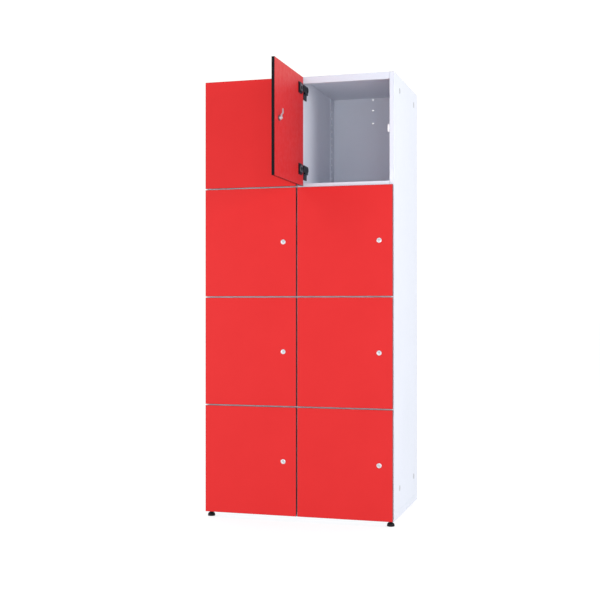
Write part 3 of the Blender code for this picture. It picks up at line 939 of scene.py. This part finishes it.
def flange_profile():
    """Lock front: a rounded flange round the plug's bore, down to the threaded barrel's end."""
    front = SEAT_GAP + FLANGE_THICKNESS
    profile = [
        (PLUG_BORE, front - PLUG_BORE_CHAMFER), (PLUG_BORE + PLUG_BORE_CHAMFER, front),
        (FLANGE_RADIUS - FLANGE_RIM_WIDTH, front),
    ]
    for step in range(FLANGE_EDGE_STEPS + 1):
        angle = math.pi / 2 * step / FLANGE_EDGE_STEPS
        radius = FLANGE_RADIUS - FLANGE_EDGE + FLANGE_EDGE * math.sin(angle)
        profile.append((radius, front - FLANGE_RIM_DROP - FLANGE_EDGE + FLANGE_EDGE * math.cos(angle)))
    depth = NUT_SEAT
    profile += [(FLANGE_RADIUS, SEAT_GAP), (BARREL_RADIUS, SEAT_GAP), (BARREL_RADIUS, depth)]
    while depth - THREAD_PITCH > BARREL_END:
        profile.append((BARREL_RADIUS - THREAD_DEPTH, depth - THREAD_PITCH / 2))
        profile.append((BARREL_RADIUS, depth - THREAD_PITCH))
        depth -= THREAD_PITCH
    profile += [(BARREL_RADIUS - BARREL_CHAMFER, BARREL_END), (PLUG_BORE, BARREL_END)]
    return profile


def barrel_shape():
    """Lock barrel with its flange outside and its nut inside, along the lock's axis."""
    body = lathe_shape(flange_profile(), closed=True)
    nut_end = NUT_SEAT - NUT_THICKNESS
    bore_start = (0, 0, nut_end - CUT_MARGIN)
    bore_end = (0, 0, NUT_SEAT + CUT_MARGIN)
    bore = rod_shape(bore_start, bore_end, BARREL_RADIUS - THREAD_DEPTH, ROUND)
    nut = drilled(hex_shape(NUT_CORNER, nut_end, NUT_SEAT, SOFT_EDGE), [bore])
    return joined([(body, OUTWARD, 0), (nut, OUTWARD, 1)])


def cam_station(share):
    """Height, crank and half-width of the cam at a share of its length."""
    start = -CAM_HALF_WIDTH
    z = start + (CAM_REACH - start) * share
    bend = min(1.0, max(0.0, (z - CAM_BEND_START) / (CAM_BEND_END - CAM_BEND_START)))
    crank = CAM_CRANK * bend * bend * (3 - 2 * bend)
    half = CAM_HALF_WIDTH + (CAM_TIP_HALF_WIDTH - CAM_HALF_WIDTH) * bend
    if z < 0.0:
        half = math.sqrt(max(0.0, CAM_HALF_WIDTH ** 2 - z ** 2))
    tip = z - (CAM_REACH - CAM_TIP_HALF_WIDTH)
    if tip > 0.0:
        half = math.sqrt(max(0.0, CAM_TIP_HALF_WIDTH ** 2 - tip ** 2))
    return z, crank, max(half, CAM_LEAST_HALF_WIDTH)


def cam_plate(start):
    """Cranked cam, a strap of even thickness with round ends, standing up from the lock's axis."""
    bm = bmesh.new()
    rows = []
    for index in range(CAM_STATIONS + 1):
        share = (1 - math.cos(math.pi * index / CAM_STATIONS)) / 2
        z, crank, half = cam_station(share)
        corners = ((-half, 0.0), (half, 0.0), (half, CAM_THICKNESS), (-half, CAM_THICKNESS))
        rows.append([bm.verts.new((x, start + crank + y, z)) for x, y in corners])
    sides = len(rows[0])
    for below, above in zip(rows, rows[1:]):
        for corner in range(sides):
            after = (corner + 1) % sides
            bm.faces.new((below[corner], below[after], above[after], above[corner]))
    bm.faces.new(rows[0])
    bm.faces.new(rows[-1])
    return shape_mesh(bm)


def in_slot(point):
    """Whether a point lies in the key slot, seen along the lock's axis."""
    return abs(point.x) < SLOT_WIDTH and abs(point.y) < SLOT_HEIGHT * SLOT_REACH_SHARE


def plug_shape():
    """Key plug with its key slot, the cam behind it and the bolt that holds the cam."""
    front = SEAT_GAP + FLANGE_THICKNESS - PLUG_RECESS
    cam_start = -BARREL_END + SEAT_GAP
    plug_end = cam_start + CAM_THICKNESS
    profile = [(0.0, front)]
    for inset, drop in PLUG_RIM:
        profile.append((PLUG_RADIUS - inset, front - drop))
    profile += [(PLUG_RADIUS, -plug_end), (0.0, -plug_end)]
    slot_low = (-SLOT_WIDTH / 2, -SLOT_HEIGHT / 2, front - SLOT_DEPTH)
    slot = box_shape(slot_low, (SLOT_WIDTH / 2, SLOT_HEIGHT / 2, CUT_MARGIN))
    plug = drilled(lathe_shape(profile), [slot])
    for polygon in plug.polygons:
        inside = all(in_slot(plug.vertices[index].co) for index in polygon.vertices)
        polygon.material_index = 1 if inside else 0
    bolt = hex_shape(BOLT_CORNER, -plug_end - BOLT_HEIGHT, -plug_end + BOLT_SINK, SMALL_EDGE)
    return joined_keeping((plug, OUTWARD), [(cam_plate(cam_start), IDENTITY, 2), (bolt, OUTWARD, 2)])


def build_doors():
    """Each door with its hinge leaves and its lock; the copies share their meshes."""
    door = door_shape()
    tops = {level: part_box(f"hinge_arm_{CLOSED_KEY}_{level}")[1].z - CLOSED_AXIS.z for level in LEVELS}
    leaves = {level: leaf_shape(top) for level, top in tops.items()}
    barrel = barrel_shape()
    plug = plug_shape()
    for key in KEYS:
        place = door_matrix(key)
        lock = place @ Matrix.Translation((LOCK_X, OUTER_FACE, 0))
        piece(f"door_{key}", door, [RED, CORE], f"door_{key}", [f"door_panel_{key}"], place)
        for level in LEVELS:
            piece(f"hinge_leaf_{key}_{level}", leaves[level], [ENAMEL, STEEL], f"door_{key}",
                  matrix=place)
        piece(f"lock_front_{key}", barrel, [CHROME, STEEL], f"door_{key}",
              [f"lock_barrel_{key}"], lock)
        piece(f"lock_plug_{key}", plug, [CHROME, CORE, CAST_METAL], f"lock_{key}",
              [f"lock_cam_{key}"], lock)


# Hinge arms

def arm_shape():
    """Hinge arm counted from its wall's face, the carcass front and its own top."""
    low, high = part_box(f"hinge_arm_{CLOSED_KEY}_upper")
    wall = compartment(CLOSED_KEY)[0].x
    depth = high.y - FRONT
    thick = high.x - wall
    height = high.z - low.z
    plate = box_shape((SEAT_GAP, ARM_SETBACK, -height), (ARM_PLATE, depth, 0), SOFT_EDGE, ARM_CORNER, X)
    body_face = thick - BOSS_PROUD
    body_low = (ARM_PLATE / 2, ARM_SETBACK + ARM_BODY_INSET, -ARM_BODY_HEIGHT)
    body_high = (body_face, depth - ARM_BODY_INSET, -ARM_BODY_INSET)
    body = box_shape(body_low, body_high, WIDE_EDGE, ARM_BODY_CORNER, X, WIDE_EDGE_STEPS)
    nose_top = -NOSE_TOP_DISTANCE + NOSE_HEIGHT / 2
    nose_low = (NOSE_LEFT, low.y - FRONT, nose_top - NOSE_HEIGHT)
    nose_high = (NOSE_RIGHT, ARM_SETBACK + NOSE_ROOT, nose_top)
    nose = box_shape(nose_low, nose_high, SOFT_EDGE, NOSE_CORNER, X)
    boss_profile = [(BOSS_RADIUS * share, -drop) for share, drop in BOSS_PROFILE]
    boss_profile += [(BOSS_RADIUS, -BOSS_LENGTH), (0.0, -BOSS_LENGTH)]
    boss = lathe_shape(boss_profile)
    boss_spot = Matrix.Translation((thick, depth - BOSS_REAR_DISTANCE, -BOSS_TOP_DISTANCE)) @ facing(X, 1)
    parts = [(plate, IDENTITY, 0), (body, IDENTITY, 0), (nose, IDENTITY, 0), (boss, boss_spot, 0)]
    screw_spots = (
        (body_face, ARM_SETBACK + ARM_SCREW_SETBACK, -BOSS_TOP_DISTANCE),
        (ARM_PLATE, (ARM_SETBACK + depth) / 2, -height + ARM_SCREW_RISE),
    )
    for spot in screw_spots:
        parts.append((screw_head(), Matrix.Translation(spot) @ facing(X, 1), 1))
    return joined(parts)


def build_hinge_arms():
    """Two hinge arms for each door; the copies share one mesh."""
    arm = arm_shape()
    for key in KEYS:
        wall = compartment(key)[0].x
        for level in LEVELS:
            node = f"hinge_arm_{key}_{level}"
            place = Matrix.Translation((wall, FRONT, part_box(node)[1].z))
            piece(f"arm_{key}_{level}", arm, [ENAMEL, ZINC], "carcass", [node], place)


# Feet

def foot_shape():
    """Levelling foot: domed base, hexagonal collar and threaded stem."""
    dome_low = FLOOR + FOOT_RIM
    dome_high = -FOOT_COLLAR - FOOT_CROWN
    profile = [(0.0, dome_high + FOOT_CROWN), (FOOT_NECK, dome_high + FOOT_SHOULDER)]
    for step in range(FOOT_STEPS + 1):
        angle = math.pi / 2 * step / FOOT_STEPS
        radius = FOOT_NECK + (FOOT_RADIUS - FOOT_NECK) * math.sin(angle)
        profile.append((radius, dome_low + (dome_high - dome_low) * math.cos(angle)))
    profile += [(FOOT_RADIUS, FLOOR + FOOT_CHAMFER), (FOOT_RADIUS - FOOT_CHAMFER, FLOOR), (0.0, FLOOR)]
    base = lathe_shape(profile)
    collar = hex_shape(COLLAR_CORNER, -FOOT_COLLAR - COLLAR_SINK, FOOT_SEAT_RECESS - SEAT_GAP, SMALL_EDGE)
    thread = [(0.0, STEM_LENGTH), (STEM_RADIUS - STEM_CHAMFER, STEM_LENGTH)]
    height = STEM_LENGTH - STEM_CHAMFER
    while height > 0.0:
        thread.append((STEM_RADIUS, height))
        thread.append((STEM_RADIUS - STEM_THREAD_DEPTH, height - STEM_PITCH / 2))
        height -= STEM_PITCH
    thread += [(STEM_RADIUS - STEM_THREAD_DEPTH, -FOOT_COLLAR), (0.0, -FOOT_COLLAR)]
    stem = lathe_shape(thread, SMALL_ROUND)
    return joined([(base, IDENTITY, 0), (collar, IDENTITY, 0), (stem, IDENTITY, 1)])


def build_feet():
    """Four feet that share one mesh."""
    foot = foot_shape()
    for corner in CORNERS:
        node = f"foot_{corner}"
        place = Matrix.Translation((*foot_centre(corner), 0.0))
        piece(f"levelling_{node}", foot, [FOOT_PLASTIC, ZINC], node, [node], place)


# Stage, light and camera

def build_stage():
    """A pale round floor that glows a little."""
    bm = bmesh.new()
    bmesh.ops.create_circle(bm, cap_ends=True, segments=FLOOR_STEPS, radius=FLOOR_RADIUS)
    mesh = shape_mesh(bm)
    material, tree, shader, place = new_material("pale_floor")
    vary_color(tree, shader, noise(tree, place, scale=2.0), FLOOR_DARK, FLOOR_LIGHT)
    vary_roughness(tree, shader, noise(tree, place, scale=8.0), low=0.8, high=0.9)
    shader.inputs["Specular IOR Level"].default_value = 0.0
    shader.inputs["Emission Color"].default_value = (1.0, 1.0, 1.0, 1.0)
    shader.inputs["Emission Strength"].default_value = FLOOR_GLOW
    mesh.materials.append(material)
    floor = bpy.data.objects.new("floor", mesh)
    floor.location.z = FLOOR - FLOOR_GAP
    bpy.context.scene.collection.objects.link(floor)


def build_surround():
    """A pale surround: cooler and dimmer in front of the doors, white behind, brighter overhead."""
    world = bpy.data.worlds.new("studio")
    world.use_nodes = True
    tree = world.node_tree
    background = tree.nodes["Background"]
    direction = tree.nodes.new("ShaderNodeTexCoord").outputs["Generated"]
    split = tree.nodes.new("ShaderNodeSeparateXYZ")
    tree.links.new(direction, split.inputs["Vector"])
    rearward = tree.nodes.new("ShaderNodeVectorMath")
    rearward.operation = "DOT_PRODUCT"
    rearward.inputs[1].default_value = (-math.sin(CAMERA_YAW), math.cos(CAMERA_YAW), 0.0)
    tree.links.new(direction, rearward.inputs[0])
    across = tree.nodes.new("ShaderNodeMapRange")
    across.inputs["From Min"].default_value = SKY_FRONT_END
    across.inputs["From Max"].default_value = SKY_REAR_END
    tree.links.new(rearward.outputs["Value"], across.inputs["Value"])
    sky = tree.nodes.new("ShaderNodeValToRGB")
    sky.color_ramp.elements[0].color = (*FRONT_SKY, 1.0)
    sky.color_ramp.elements[1].color = (*REAR_SKY, 1.0)
    tree.links.new(across.outputs["Result"], sky.inputs["Fac"])
    tree.links.new(sky.outputs["Color"], background.inputs["Color"])
    rise = tree.nodes.new("ShaderNodeMapRange")
    rise.inputs["From Min"].default_value = RISE_START
    rise.inputs["From Max"].default_value = 1.0
    rise.inputs["To Min"].default_value = HORIZON_LIGHT
    rise.inputs["To Max"].default_value = ZENITH_LIGHT
    tree.links.new(split.outputs["Z"], rise.inputs["Value"])
    tree.links.new(rise.outputs["Result"], background.inputs["Strength"])
    bpy.context.scene.world = world


def area_light(name, place, target, size, power, color):
    """A soft light aimed at a point, of a width and a height, itself out of sight."""
    data = bpy.data.lights.new(name, "AREA")
    data.shape = "RECTANGLE"
    data.size, data.size_y = size
    data.energy = power
    data.color = color
    light = bpy.data.objects.new(name, data)
    light.location = place
    light.visible_camera = False
    light.rotation_euler = (Vector(target) - Vector(place)).to_track_quat("-Z", "Y").to_euler()
    bpy.context.scene.collection.objects.link(light)


def build_lights():
    """A soft key light from the upper left, two level strips that reach between the doors, and a fill."""
    for name, values in LIGHTS.items():
        area_light(name, **values)


def build_camera():
    """The photograph's view: a level camera to the right of the middle."""
    data = bpy.data.cameras.new("camera")
    data.lens = CAMERA_LENS
    data.sensor_width = SENSOR_WIDTH
    data.shift_x, data.shift_y = CAMERA_SHIFT
    camera = bpy.data.objects.new("camera", data)
    camera.location = CAMERA_PLACE
    camera.rotation_euler = (math.pi / 2, 0, CAMERA_YAW)
    bpy.context.scene.collection.objects.link(camera)
    bpy.context.scene.camera = camera
    bpy.context.scene.view_settings.view_transform = "Standard"


build_camera()
build_walls()
build_top()
build_bottom()
build_shelves()
build_back()
build_rivets()
build_strikes()
build_caps()
build_doors()
build_hinge_arms()
build_feet()
build_stage()
build_surround()
build_lights()
